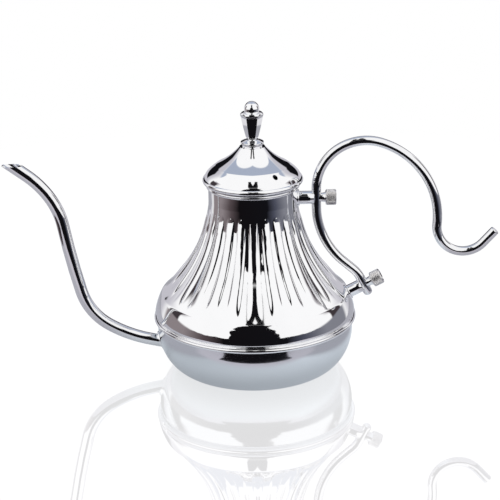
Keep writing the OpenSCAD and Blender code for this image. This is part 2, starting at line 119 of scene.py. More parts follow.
class Wire:
    """A socket, or a number, in a node tree. Arithmetic on wires adds Math nodes."""

    def __init__(self, tree, socket):
        self.tree, self.socket = tree, socket

    def math(self, operation, *others):
        sockets = [o.socket if isinstance(o, Wire) else o for o in (self, *others)]
        return self.tree.add("ShaderNodeMath", {"operation": operation}, sockets)

    def __add__(self, other): return self.math("ADD", other)
    def __sub__(self, other): return self.math("SUBTRACT", other)
    def __rsub__(self, other): return self.math("MULTIPLY_ADD", -1.0, other)
    def __mul__(self, other): return self.math("MULTIPLY", other)
    def __truediv__(self, other): return self.math("DIVIDE", other)
    def power(self, other): return self.math("POWER", other)
    def low(self, other): return self.math("MINIMUM", other)
    def high(self, other): return self.math("MAXIMUM", other)
    def absolute(self): return self.math("ABSOLUTE")
    __radd__, __rmul__ = __add__, __mul__

    def step(self, start, end):
        """0 before start, 1 after end, smooth between."""
        return self.tree.add(
            "ShaderNodeMapRange", {"interpolation_type": "SMOOTHSTEP"}, [self.socket, start, end, 0.0, 1.0])


class Tree:
    """Adds nodes to a tree: settings first, then the values or wires of the sockets."""

    def __init__(self, tree):
        self.tree = tree

    def add(self, kind, settings=None, sockets=(), out=0):
        node = self.tree.nodes.new(kind)
        for key, value in (settings or {}).items():
            if key == "stops":
                ramp = node.color_ramp
                for i, (place, shade) in enumerate(value):
                    stop = ramp.elements[i] if i < len(ramp.elements) else ramp.elements.new(place)
                    stop.position, stop.color = place, shade
            else:
                setattr(node, key, value)
        pairs = sockets.items() if isinstance(sockets, dict) else enumerate(sockets)
        for key, value in pairs:
            value = value.socket if isinstance(value, Wire) else value
            if isinstance(value, bpy.types.NodeSocket):
                self.tree.links.new(value, node.inputs[key])
            else:
                node.inputs[key].default_value = value
        return Wire(self, node.outputs[out]) if len(node.outputs) else None

    def outputs(self, wire):
        return [Wire(self, socket) for socket in wire.socket.node.outputs]

    def split(self, vector):
        """The X, Y and Z of a vector."""
        return self.outputs(self.add("ShaderNodeSeparateXYZ", None, [vector]))

    def finish(self, shader):
        """Sends a shader to the material's output."""
        self.add("ShaderNodeOutputMaterial", None, [shader])

    def ramp(self, value, before, after, start, end):
        """A straight change from start at before to end at after."""
        values = [value, before, after, start, end]
        return self.add("ShaderNodeMapRange", {"interpolation_type": "LINEAR"}, values)

    def noise(self, vector, scale, detail):
        return self.add("ShaderNodeTexNoise", None, {"Vector": vector, "Scale": scale, "Detail": detail})

    def mix_shader(self, factor, a, b):
        return self.add("ShaderNodeMixShader", None, [factor, a, b])

    def mix_colour(self, factor, a, b):
        return self.add("ShaderNodeMix", {"data_type": "RGBA"}, {0: factor, 6: a, 7: b}, out=2)


def surface_material(name):
    """A new material, its tree and the Object coordinates of a point on it."""
    material = bpy.data.materials.new(name)
    material.use_nodes = True
    material.node_tree.nodes.clear()
    tree = Tree(material.node_tree)
    return material, tree, tree.add("ShaderNodeTexCoord", out=3)


def polished(name, colour, rough, spun=0.0):
    """Polished steel: faint smudges, fine wiping scratches and, where it is spun, lathe rings."""
    smudge_scale, scratch_scale, ring_scale = 26.0, (900.0, 900.0, 160.0), 2200.0
    smudge_rough, scratch_rough, scratch_height = 0.035, 0.02, 0.25
    smudged = [c * 0.955 for c in colour]
    _, t, spot = surface_material(name)
    smudge = t.noise(spot, smudge_scale, 3.0)
    wiped = t.add("ShaderNodeVectorMath", {"operation": "MULTIPLY"}, [spot, scratch_scale])
    scratch = t.noise(wiped, 1.0, 2.0)
    cloudy = smudge.step(0.42, 0.70)
    base = t.mix_colour(cloudy * 0.5, (*colour, 1), (*smudged, 1))
    roughness = cloudy * smudge_rough + scratch * scratch_rough + rough
    height = scratch * scratch_height
    if spun:
        x, y, z = t.split(spot)
        rings = t.add("ShaderNodeCombineXYZ", None, [(x * x + y * y).power(0.5) * 0.6 + z, 0.0, 0.0])
        height = height + t.noise(rings, ring_scale, 1.0) * spun
    bump = t.add("ShaderNodeBump", None, {"Strength": 0.12, "Distance": 0.02 * MM, "Height": height})
    t.finish(t.add("ShaderNodeBsdfPrincipled", None, {
        "Base Color": base, "Metallic": 1.0, "Roughness": roughness, "Normal": bump}))


def materials():
    """All materials, with the kettle's made on the first call."""
    if "kettle_steel" not in bpy.data.materials:
        f = finishes()
        polished("kettle_steel", f.steel, 0.02, spun=0.2)
        polished("kettle_bowl_steel", f.bowl, 0.09, spun=0.6)
        polished("kettle_bar_steel", f.bar, 0.02)
        polished("kettle_knurl_steel", f.knurl, 0.16)
        polished("kettle_fastener_steel", (0.72, 0.72, 0.74), 0.2, spun=0.4)
    return bpy.data.materials


# ---- meshes -------------------------------------------------------------------------------

def place(name, mesh, material, node, slot, sharp=35):
    """Links a finished mesh as a piece that stands for a CAD node."""
    mesh.materials.clear()
    mesh.materials.append(materials()[material])
    mesh.shade_smooth()
    mesh.set_sharp_from_angle(angle=radians(sharp))
    piece = bpy.data.objects.new(name, mesh)
    bpy.context.scene.collection.objects.link(piece)
    bodies = frame["record"]["behaviour"]["bodies"]
    owner = next(body for body, nodes in bodies.items() if node in nodes)
    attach(piece, owner)
    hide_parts(node)


def grid_mesh(name, rows, closed_rows=False, caps=False):
    """A mesh through rings of points. Rings of one point are poles."""
    mesh = bpy.data.meshes.new(name)
    points, starts, faces = [], [], []
    for row in rows:
        starts.append(len(points))
        points += row
    count = len(rows)
    for i in range(count if closed_rows else count - 1):
        a, b = rows[i], rows[(i + 1) % count]
        sa, sb = starts[i], starts[(i + 1) % count]
        n = max(len(a), len(b))
        for j in range(n):
            k = (j + 1) % n
            if len(a) == 1:
                faces.append((sa, sb + k, sb + j))
            elif len(b) == 1:
                faces.append((sa + j, sa + k, sb))
            else:
                faces.append((sa + j, sa + k, sb + k, sb + j))
    if caps:
        faces.append(tuple(starts[0] + j for j in reversed(range(len(rows[0])))))
        faces.append(tuple(starts[-1] + j for j in range(len(rows[-1]))))
    mesh.from_pydata([tuple(p) for p in points], [], faces)
    clean = bmesh.new()
    clean.from_mesh(mesh)
    bmesh.ops.remove_doubles(clean, verts=clean.verts, dist=1e-7)
    bmesh.ops.recalc_face_normals(clean, faces=clean.faces)
    clean.to_mesh(mesh)
    clean.free()
    return mesh


def round_steps(count):
    """Angles all the way round."""
    return [tau * j / count for j in range(count)]


def lathe(name, outline, angles=None, closed=True):
    """Spins an outline of (radius, height) round the Z axis. A closed outline is a ring in section."""
    angles = angles or round_steps(160)
    rows = [[(0, 0, z)] if r < 1e-9 else [(r * cos(a), r * sin(a), z) for a in angles] for r, z in outline]
    return grid_mesh(name, rows, closed_rows=closed and outline[0][0] > 1e-9)


def cubic(a, b, c, d, steps):
    """Points on a cubic curve, without its first."""
    return [tuple((1 - t) ** 3 * p + 3 * (1 - t) ** 2 * t * q + 3 * (1 - t) * t * t * r + t ** 3 * s
                  for p, q, r, s in zip(a, b, c, d)) for t in [i / steps for i in range(1, steps + 1)]]


def shifted(points, by):
    """An open outline moved along its normals, to the right of its direction."""
    moved = []
    for i, (x, z) in enumerate(points):
        a, b = points[max(i - 1, 0)], points[min(i + 1, len(points) - 1)]
        dx, dz = b[0] - a[0], b[1] - a[1]
        size = hypot(dx, dz)
        moved.append((x + by * dz / size, z - by * dx / size))
    return moved


def arc(centre, radius, start, end, steps):
    """Points on an arc of an outline, in degrees."""
    turns = [radians(start + (end - start) * i / steps) for i in range(steps + 1)]
    return [(centre[0] + radius * cos(a), centre[1] + radius * sin(a)) for a in turns]


def turned(mesh, at, rise):
    """Moves a mesh that is built along +Z so that it lies along the XZ direction at that rise."""
    mesh.transform(Matrix.Translation(at) @ Matrix.Rotation(pi / 2 - rise, 4, "Y"))
    return mesh


def bowl_outline(s, steps=30):
    """The bowl's outer face, from the edge of its flat base up."""
    return [(s.base_r + (s.bowl_r - s.base_r) * sin(pi / 2 * i / steps),
             s.round_h * (1 - cos(pi / 2 * i / steps))) for i in range(steps + 1)]


def bowl_wall_r(s, z):
    """Radius of the bowl's outer face at a height."""
    up = 1 - min(z, s.round_h) / s.round_h
    return s.base_r + (s.bowl_r - s.base_r) * sqrt(1 - up * up)


def body_outline(s):
    """The body's outer face without its ribs, from the seam to the mouth."""
    lean = radians(50.4)  # of the flare's foot, from upright
    cove = (s.bowl_r, s.seam_z + 1.6 * MM)
    ridge = (s.bowl_r + 1.2 * MM, s.seam_z + 3.8 * MM)
    turn = (s.bowl_r - 3.55 * MM, s.seam_z + 16.6 * MM)
    neck = (s.neck_r, s.mouth_z - 10.1 * MM)

    def up_slope(by):
        return turn[0] - by * sin(lean), turn[1] + by * cos(lean)

    points = [cove] + cubic(cove, (cove[0] - 0.25 * MM, cove[1] + 1.2 * MM),
                            (ridge[0], ridge[1] - 0.8 * MM), ridge, 6)
    points += cubic(ridge, (ridge[0], ridge[1] + 2.6 * MM), up_slope(-2 * MM), turn, 20)
    points += cubic(turn, up_slope(27 * MM), (neck[0], neck[1] - 20.6 * MM), neck, 80)
    return points


def bend_path(start, segments, step=2.0):
    """Points along straights (length, 0) and bends (radius, degrees) in the XZ plane."""
    x, z, heading = start
    points = [(x, z, heading)]
    for size, angle in segments:
        n = 2 if angle == 0 else max(2, ceil(abs(angle) / step))
        x0, z0, h0 = x, z, heading
        for k in range(1, n + 1):
            if angle == 0:
                far = size * k / n
                x, z = x0 + far * cos(h0), z0 + far * sin(h0)
            else:
                side = 1 if angle > 0 else -1
                heading = h0 + radians(angle) * k / n
                x = x0 + side * size * (sin(heading) - sin(h0))
                z = z0 - side * size * (cos(heading) - cos(h0))
            points.append((x, z, heading))
    return points


# ---- geometry node trees ------------------------------------------------------------------

KINDS = {int: "NodeSocketInt", bool: "NodeSocketBool", float: "NodeSocketFloat", tuple: "NodeSocketVector"}


def geometry_group(name, shape, values, result):
    """A geometry tree with a shape, named values and a finish going in. Also gives its inputs' ids."""
    group = bpy.data.node_groups.new(name, "GeometryNodeTree")
    new = group.interface.new_socket
    new(name=shape, in_out="INPUT", socket_type="NodeSocketGeometry")
    ids = {}
    for key, (title, default) in values.items():
        item = new(name=title, in_out="INPUT", socket_type=KINDS[type(default)])
        item.default_value = default
        ids[key] = item.identifier
    ids["finish"] = new(name="Finish", in_out="INPUT", socket_type="NodeSocketMaterial").identifier
    new(name=result, in_out="OUTPUT", socket_type="NodeSocketGeometry")
    tree = Tree(group)
    return group, ids, tree, tree.outputs(tree.add("NodeGroupInput"))[:-1]


def close_group(t, geometry, finish):
    """Gives the geometry its finish and sends it out of the group."""
    real = t.add("GeometryNodeRealizeInstances", None, [geometry])
    done = t.add("GeometryNodeSetMaterial", None, {"Geometry": real, "Material": finish})
    t.add("NodeGroupOutput", None, [done])


def scaled(t, vector, by):
    return t.add("ShaderNodeVectorMath", {"operation": "SCALE"}, {0: vector, "Scale": by})


def baked(source, name):
    """The mesh of an object with its modifiers applied. The object goes."""
    bpy.context.view_layer.update()
    evaluated = source.evaluated_get(bpy.context.evaluated_depsgraph_get())
    mesh = bpy.data.meshes.new_from_object(evaluated)
    mesh.name = name
    bpy.data.objects.remove(source)
    return mesh


def apply_tree(source, tree, values, name):
    """Runs a geometry tree on an object and returns the result as a plain mesh. The object goes."""
    modifier = source.modifiers.new(name, "NODES")
    modifier.node_group, ids = tree
    for key, value in values.items():
        modifier[ids[key]] = value
    data = source.data
    mesh = baked(source, name)
    (bpy.data.curves if isinstance(data, bpy.types.Curve) else bpy.data.meshes).remove(data)
    return mesh


def sweep_tree():
    """Sweeps a round section along a curve. The end can be cut level at a height."""
    group, ids, t, (path, radius, sides, caps, level, lead, finish) = geometry_group("bent_bar", "Path", {
        "radius": ("Radius", 0.003), "sides": ("Sides", 40), "caps": ("Closed Ends", True),
        "level": ("Level Cut", 10.0), "lead": ("Lead At The Cut", (0.0, 0.0, 1.0))}, "Bar")
    section = t.add("GeometryNodeCurvePrimitiveCircle", {"mode": "RADIUS"},
                    {"Resolution": sides, "Radius": radius})
    bar = t.add("GeometryNodeCurveToMesh", None, {
        "Curve": path, "Profile Curve": section, "Fill Caps": caps,
        "Scale": t.add("GeometryNodeInputRadius")})
    height = t.split(t.add("GeometryNodeInputPosition"))[2]
    back = (height - level).high(0.0) / t.split(lead)[2] * -1.0
    cut = t.add("GeometryNodeSetPosition", None, {"Geometry": bar, "Offset": scaled(t, lead, back)})
    close_group(t, cut, finish)
    return group, ids


def rib_tree():
    """Presses ribs with rounded ends out of a spun sheet. They widen and fade towards the top."""
    fade_below, fade_above, fade_depth = 7 * MM, 3 * MM, 0.8
    widening, crown = 0.12, 0.25
    group, ids, t, inputs = geometry_group("pressed_ribs", "Spun Sheet", {
        "count": ("Ribs", 24), "proud": ("Rib Height", 0.001), "width": ("Rib Width", 0.6),
        "flank": ("Flank", 0.2), "low": ("Foot", 0.05), "high": ("Top", 0.1),
        "low_run": ("Foot Rounding", 0.004), "high_run": ("Top Rounding", 0.003)}, "Ribbed Sheet")
    sheet, count, proud, width, flank, low, high, low_run, high_run, finish = inputs
    x, y, z = t.split(t.add("GeometryNodeInputPosition"))
    turn = (y.math("ARCTAN2", x) + pi / 2) / tau * count + 0.5
    opened = t.ramp(z, low, high, 0.0, widening) + width
    across = (turn.math("FRACT") - 0.5).absolute() * 2.0 / opened
    along = ((z - high) / high_run).high((low - low_run - z) / 0.001).high(0.0)
    far = (across * across + along * along).power(0.5)
    raised = 1.0 - far.step(1.0 - flank, 1.0 + flank)
    fade = (1.0 - z.step(high - fade_below, high + fade_above)) * fade_depth + (1.0 - fade_depth)
    settle = z.step(low - low_run, low + low_run)
    crowned = raised * fade * settle * (1.0 - (across * across).low(1.0) * crown)
    normal = t.add("GeometryNodeInputNormal")
    nx, ny, nz = t.split(normal)
    outward = (nx * x + ny * y + nz * 0.0001).math("SIGN")
    push = scaled(t, normal, crowned * proud * outward)
    close_group(t, t.add("GeometryNodeSetPosition", None, {"Geometry": sheet, "Offset": push}), finish)
    return group, ids


def knurl_tree():
    """Cuts a diamond knurl into the side of a round head that lies along Z."""
    fade = 0.3 * MM
    group, ids, t, (head, teeth, depth, radius, low, high, finish) = geometry_group("knurl", "Head", {
        "teeth": ("Teeth", 36), "depth": ("Depth", 0.0002), "radius": ("Head Radius", 0.005),
        "low": ("Start", 0.0), "high": ("End", 0.01)}, "Knurled Head")
    x, y, z = t.split(t.add("GeometryNodeInputPosition"))
    turn = y.math("ARCTAN2", x) / tau * teeth
    climb = z / radius / tau * teeth
    left = ((turn + climb).math("FRACT") - 0.5).absolute() * 2.0
    right = ((turn - climb).math("FRACT") - 0.5).absolute() * 2.0
    groove = left.high(right).step(0.45, 1.0)
    reach = (x * x + y * y).power(0.5)
    on_side = reach.step(radius * 0.97, radius * 0.995)
    on_side = on_side * z.step(low, low + fade) * (1.0 - z.step(high - fade, high))
    inward = groove * depth * on_side / reach.high(1e-6) * -1.0
    push = scaled(t, t.add("ShaderNodeCombineXYZ", None, [x, y, 0.0]), inward)
    close_group(t, t.add("GeometryNodeSetPosition", None, {"Geometry": head, "Offset": push}), finish)
    return group, ids


def loose(mesh_or_curve, name):
    """An object in the scene that isn't a piece."""
    source = bpy.data.objects.new(name, mesh_or_curve)
    bpy.context.scene.collection.objects.link(source)
    return source


def swept(name, points, radius, material, radii=None, caps=True, level=10.0, lead=(0, 0, 1), sides=40):
    """A bar or an open tube along points in the XZ plane."""
    curve = bpy.data.curves.new(name + "_path", "CURVE")
    curve.dimensions = "3D"
    spline = curve.splines.new("POLY")
    spline.points.add(len(points) - 1)
    for i, p in enumerate(points):
        spline.points[i].co = (p[0], 0.0, p[1], 1.0)
        spline.points[i].radius = radii[i] if radii else 1.0
    values = {"radius": radius, "sides": sides, "caps": caps, "level": level, "lead": lead,
              "finish": materials()[material]}
    return apply_tree(loose(curve, name + "_path"), sweep_tree(), values, name)


# ---- pieces -------------------------------------------------------------------------------

class KETTLE_OT_bowl(bpy.types.Operator):
    """Spins the rounded bowl with its flat base"""
    bl_idname = "kettle.bowl"
    bl_label = "Bowl"

    def execute(self, context):
        s = sizes()
        flange, drawn = s.bowl_r + 1 * MM, s.bowl_r - 0.78 * MM
        belly, tuck, base_mid = 21 * MM, 33 * MM, 20 * MM
        outer = bowl_outline(s)
        inner = list(reversed(shifted(outer, -s.sheet)))
        outer = [(r - 0.32 * MM * max(0.0, (z - belly) / (7 * MM)) ** 2, z) for r, z in outer]
        outer += cubic(outer[-1], (outer[-1][0] - 0.2 * MM, s.round_h + 2 * MM),
                       (drawn + 0.12 * MM, tuck - 1.9 * MM), (drawn, tuck - 0.7 * MM), 12)
        outer += cubic(outer[-1], (drawn, tuck - 0.1 * MM),
                       (s.bowl_r - 0.3 * MM, s.seam_z - s.sheet - 0.02 * MM), (flange, s.seam_z - s.sheet), 6)
        outline = [(0, 0), (base_mid, 0), (s.base_r - 4 * MM, 0)] + outer
        outline += [(flange, s.seam_z), (s.bowl_r - s.sheet, s.seam_z)] + inner
        outline += [(base_mid, s.sheet), (0, s.sheet)]
        mesh = lathe("bowl", outline, closed=False)
        place("bowl", mesh, "kettle_bowl_steel", "base_bowl", "bowl_steel")
        return {"FINISHED"}


class KETTLE_OT_body(bpy.types.Operator):
    """Spins the body and presses its ribs"""
    bl_idname = "kettle.body"
    bl_label = "Fluted Body"

    def execute(self, context):
        s = sizes()
        pitch = tau / s.rib_count
        rib_width, rib_flank = 0.52, 0.24  # shares of the pitch and of the width
        foot_run, top_run = 6 * MM, 4 * MM
        shares = [0, 0.12, 0.22, 0.27, 0.31, 0.34, 0.37, 0.40, 0.43, 0.46, 0.5]
        shares += [1 - u for u in reversed(shares[1:-1])]
        angles = [(i + u) * pitch - pi / 2 for i in range(s.rib_count) for u in shares]
        outer = body_outline(s)
        mouth = [(s.neck_r, outer[-1][1] + (s.mouth_z - outer[-1][1]) * k / 4) for k in range(1, 5)]
        inner = list(reversed(shifted(outer + mouth, -s.sheet)))[::3]
        flange = s.bowl_r + 1 * MM
        outline = [(flange, s.seam_z), (flange, s.seam_z + s.sheet), (s.bowl_r, s.seam_z + s.sheet)]
        outline += outer + mouth + [(s.neck_r - s.sheet, s.mouth_z)] + inner[1:]
        outline += [(s.bowl_r - s.sheet, s.seam_z)]
        source = loose(lathe("spun_body", outline, angles), "spun_body")
        mesh = apply_tree(source, rib_tree(), {
            "count": s.rib_count, "proud": s.rib_proud, "width": rib_width, "flank": rib_flank,
            "low": s.rib_low + foot_run, "high": s.rib_high - top_run,
            "low_run": foot_run, "high_run": top_run,
            "finish": materials()["kettle_steel"]}, "fluted_body")
        place("fluted_body", mesh, "kettle_steel", "upper_shell", "polished_steel", sharp=60)
        return {"FINISHED"}


class KETTLE_OT_bands(bpy.types.Operator):
    """Rolls the seam bead and the band under the mouth"""
    bl_idname = "kettle.bands"
    bl_label = "Seam Bead and Mouth Band"

    def execute(self, context):
        s = sizes()
        bead, proud = 1.4 * MM, 1.3 * MM
        centre = (s.bowl_r + 2 * MM - bead, s.seam_z)
        edge = degrees(acos((s.bowl_r - centre[0]) / bead))
        bead_mesh = lathe("seam_bead", arc(centre, bead, -edge, edge, 28))
        place("seam_bead", bead_mesh, "kettle_steel", "seam_ring", "polished_steel")
        band = arc((s.neck_r, s.mouth_z - proud), proud, -90, 90, 20)
        place("mouth_band", lathe("mouth_band", band), "kettle_steel", "mouth_ring", "polished_steel")
        return {"FINISHED"}


class KETTLE_OT_spout(bpy.types.Operator):
    """Bends the swan-neck spout and fits the plate round its root"""
    bl_idname = "kettle.spout"
    bl_label = "Spout"

    def execute(self, context):
        s = sizes()
        rise, root_z, inset = 11.7, 16 * MM, 3 * MM
        tip_up, tip_run = 6.4 * MM, 20 * MM
        wall_x = bowl_wall_r(s, root_z)
        start = (-(wall_x - inset), root_z - inset * tan(radians(rise)), radians(180 - rise))
        path = bend_path(start, [(6.8 * MM + inset, 0), (82 * MM, -20), (39.5 * MM, -43.4),
                                 (510 * MM, -5.1), (51.3 * MM, 23.9), (60 * MM, 19.5)])
        x, z, heading = path[-1]
        lead = (cos(heading), 0.0, sin(heading))
        points = path + [(x + tip_run * lead[0], z + tip_run * lead[2], heading)]
        mesh = swept("spout", points, s.spout_r, "kettle_bar_steel",
                     caps=False, level=z + tip_up, lead=lead, sides=56)
        source = loose(mesh, "spout_open")
        wall = source.modifiers.new("wall", "SOLIDIFY")
        wall.thickness, wall.offset, wall.use_even_offset = s.spout_wall, -1.0, True
        place("spout", baked(source, "spout"), "kettle_bar_steel", "spout_tube", "bar_steel", sharp=40)

        root = Vector((-wall_x, 0, root_z))
        along = Vector((-cos(radians(rise)), 0, sin(radians(rise))))
        side = Vector((0, 1, 0))
        up = along.cross(side)
        rows = []
        for ring_r, lift in ((4.0, -0.3), (4.0, 0.95), (4.35, 1.0), (5.3, 1.0), (5.75, 0.8), (6.0, 0.35),
                             (6.0, -0.3)):
            ring = []
            for a in round_steps(72):
                p = root + (side * cos(a) + up * sin(a)) * ring_r * MM
                for _ in range(6):
                    p = p - along * (hypot(p.x, p.y) - (bowl_wall_r(s, p.z) + lift * MM))
                ring.append(p)
            rows.append(ring)
        plate = grid_mesh("spout_plate", rows, closed_rows=True)
        place("spout_root_plate", plate, "kettle_steel", "spout_plate", "polished_steel")
        return {"FINISHED"}


def handle_mounts():
    """The rod's axis at the two posts, as x, z and the post's rise."""
    found = {}
    for joint in frame["joints"]:
        if joint["type"] == "hinge":
            x, _, z = joint["pos_m"]
            found[joint["name"]] = (x, z, atan2(joint["axis"][2], joint["axis"][0]))
    return found["upper_screw_turn"], found["lower_screw_turn"]


class KETTLE_OT_handle(bpy.types.Operator):
    """Bends the handle rod, with rounded ends"""
    bl_idname = "kettle.handle"
    bl_label = "Handle Rod"

    def execute(self, context):
        s = sizes()
        up, low = handle_mounts()
        straight, foot, foot_r = 5.8 * MM, 8 * MM, 17.4 * MM
        back = 49  # degrees that the rod leans back below the upper post
        foot_heading, back_heading = degrees(low[2]) - 90, back - 90
        foot_turn = foot_heading - back_heading
        foot_run = bend_path((0, 0, radians(back_heading)), [(foot_r, foot_turn), (straight, 0)])[-1]
        span_x = low[0] - up[0] - foot_run[0]
        span_z = up[1] - low[1] - straight + foot_run[1]
        bx, bz = 1 - cos(radians(back)), sin(radians(back))
        sx, sz = cos(radians(back_heading)), -sin(radians(back_heading))
        back_r = (span_x * sz - span_z * sx) / (bx * sz - bz * sx)
        slope = (span_z * bx - span_x * bz) / (bx * sz - bz * sx)
        down = [(straight, 0), (back_r, back), (slope, 0), (foot_r, foot_turn), (straight + foot, 0)]
        over = [(straight, 0), (31.2 * MM, -108.4), (52.6 * MM, -76.8), (17 * MM, 142.8), (11.6 * MM, 0)]
        below = bend_path((up[0], up[1], -pi / 2), down)
        above = bend_path((up[0], up[1], pi / 2), over)
        line = [(x, z) for x, z, _ in reversed(below[1:])] + [(x, z) for x, z, _ in above]
        foot_rounding, hook_rounding = 0.85, 0.3
        line, radii = rounded_ends(line, s.rod_r, (foot_rounding, hook_rounding))
        mesh = swept("handle", line, s.rod_r, "kettle_bar_steel", radii=radii, sides=48)
        place("handle", mesh, "kettle_bar_steel", "handle_rod", "bar_steel", sharp=50)
        return {"FINISHED"}


def rounded_ends(line, radius, edges):
    """Points and radius factors of a bar whose ends are rounded off by these shares of its radius."""
    def end(a, b, edge):
        dx, dz = a[0] - b[0], a[1] - b[1]
        size = hypot(dx, dz)
        made = []
        for k in range(7):
            turn = pi / 2 * k / 6
            back = edge * radius * (1 - sin(turn))
            made.append(((a[0] - dx / size * back, a[1] - dz / size * back), 1 - edge + edge * cos(turn)))
        return made
    both = end(line[0], line[1], edges[0])[::-1] + [(p, 1.0) for p in line[1:-1]]
    both += end(line[-1], line[-2], edges[1])
    return [p for p, _ in both], [f for _, f in both]


class KETTLE_OT_posts(bpy.types.Operator):
    """Turns the two posts and shapes the plates at their feet"""
    bl_idname = "kettle.posts"
    bl_label = "Posts"

    def execute(self, context):
        s = sizes()
        up, low = handle_mounts()
        post_r, cup_depth = 4.2 * MM, s.rod_r - 1.4 * MM
        for name, mount, reach in (("upper", up, 11.8 * MM), ("lower", low, 12.1 * MM)):
            along = Vector((cos(mount[2]), 0, sin(mount[2])))
            side = Vector((0, 1, 0))
            up_dir = along.cross(side)
            centre = Vector((mount[0], 0, mount[1]))

            def foot(p, lift):
                """Moves a point along the post to the body's face plus the lift."""
                for _ in range(12):
                    gap = hypot(p.x, p.y) - (body_face_r(s, p.z) + lift)
                    p = p - along * gap * 0.8
                return p

            def cup(p):
                """Moves a point along the post to the rod's surface."""
                off = p - centre
                depth = max(sqrt(max(s.rod_r ** 2 - off.y * off.y, 0)), cup_depth)
                return centre + side * off.y + up_dir * off.dot(up_dir) - along * depth

            rows = []
            for factor, kind in ((0.45, "cup"), (0.9, "cup"), (0.97, "cup"), (1.0, "lip"), (1.0, "mid"),
                                 (1.0, "foot"), (0.45, "foot")):
                ring = []
                for a in round_steps(64):
                    p = centre + (side * cos(a) + up_dir * sin(a)) * post_r * factor
                    if kind == "cup":
                        p = cup(p)
                    elif kind == "lip":
                        p = cup(p) - along * 0.15 * MM
                    elif kind == "mid":
                        p = p - along * 6 * MM
                    else:
                        p = foot(p - along * reach, 0.0)
                    ring.append(p)
                rows.append(ring)
            post = grid_mesh(name + "_post", rows, caps=True)
            place(name + "_handle_post", post, "kettle_steel", name + "_post", "polished_steel", sharp=40)
            rows = []
            for plate_r, lift in ((4.2, -0.2), (4.2, 1.0), (4.9, 1.0), (5.1, 0.85), (5.2, 0.5), (5.2, -0.2)):
                ring = []
                for a in round_steps(64):
                    p = centre + (side * cos(a) + up_dir * sin(a)) * plate_r * MM
                    ring.append(foot(p - along * reach, lift * MM))
                rows.append(ring)
            plate = grid_mesh(name + "_plate", rows, closed_rows=True)
            place(name + "_post_foot", plate, "kettle_steel", name + "_post_plate", "polished_steel")
        return {"FINISHED"}


def body_face_r(s, z):
    """Radius of the body's outer face at a height."""
    outline = body_outline(s) + [(s.neck_r, s.mouth_z)]
    for (r0, z0), (r1, z1) in zip(outline, outline[1:]):
        if z0 <= z <= z1:
            return r0 + (r1 - r0) * (z - z0) / max(z1 - z0, 1e-9)
    return outline[0][0] if z < outline[0][1] else outline[-1][0]


class KETTLE_OT_screws(bpy.types.Operator):
    """Turns the saddles and knurls the thumb screws"""
    bl_idname = "kettle.screws"
    bl_label = "Thumb Screws"

    def execute(self, context):
        s = sizes()
        stand, reach = 5.85 * MM, s.rod_r - 1.4 * MM
        head_r, head_l, edge, dish = 5 * MM, 6.7 * MM, 0.5 * MM, 0.3 * MM
        pitch, crest, valley, tip = 0.7 * MM, 1.98 * MM, 1.78 * MM, -reach - 6 * MM
        low, high = stand, stand + head_l
        for name, mount in zip(("upper", "lower"), handle_mounts()):
            at = (mount[0], 0, mount[1])
            side = [(head_r, low + edge + (head_l - 2 * edge) * k / 44) for k in range(45)]
            head = [(0, low), (2.2 * MM, low), (head_r - edge, low)] + side
            head += [(head_r - edge, high), (head_r - 1.1 * MM, high), (head_r - 1.5 * MM, high - dish),
                     (0, high - dish)]
            source = loose(lathe("screw_head", head, round_steps(288), closed=False), "screw_head")
            mesh = apply_tree(source, knurl_tree(), {
                "teeth": s.knurl_count, "depth": s.knurl_depth, "radius": head_r,
                "low": low + edge, "high": high - edge,
                "finish": materials()["kettle_knurl_steel"]}, name + "_head")
            shank = [(0, tip), (1.6 * MM, tip), (1.95 * MM, tip + 0.4 * MM)]
            for k in range(int((low - tip - 1 * MM) / pitch)):
                z = tip + 0.5 * MM + k * pitch
                shank += [(valley, z), (crest, z + 0.28 * MM),
                          (crest, z + 0.42 * MM), (valley, z + 0.68 * MM)]
            shank += [(1.95 * MM, low + 0.2 * MM), (0, low + 0.2 * MM)]
            node = name + "_thumb_screw"
            whole = joined([mesh, lathe("shank", shank, round_steps(48), closed=False)], node)
            turned(whole, at, mount[2])
            place(name + "_screw", whole, "kettle_knurl_steel", node, "knurled_steel", sharp=28)

            cup_r = s.rod_r + 0.1 * MM
            rows = []
            # each ring's radius, its share of the way up and how far it stays off the rod's cup
            for r, up, off in ((2.06, 0, 0), (2.7, 0, 0), (2.8, 0, 0.1), (2.82, 0.35, 0.25),
                               (2.9, 0.6, None), (3.25, 0.9, None), (3.4, 0.97, None),
                               (3.4, 1.0, None), (2.06, 1.0, None)):
                ring = []
                for a in round_steps(56):
                    x, y = r * MM * cos(a), r * MM * sin(a)
                    z = reach + (stand - reach) * up
                    if off is not None:
                        z = max(z, max(sqrt(max(cup_r ** 2 - y * y, 0)), reach) + off * MM)
                    ring.append((x, y, z))
                rows.append(ring)
            cone = turned(grid_mesh(name + "_saddle_cone", rows, closed_rows=True), at, mount[2])
            place(name + "_saddle_cone", cone, "kettle_steel", name + "_saddle", "polished_steel", sharp=40)
        return {"FINISHED"}


def joined(meshes, name):
    """One mesh from several."""
    out = bmesh.new()
    for mesh in meshes:
        out.from_mesh(mesh)
    mesh = bpy.data.meshes.new(name)
    out.to_mesh(mesh)
    out.free()
    return mesh


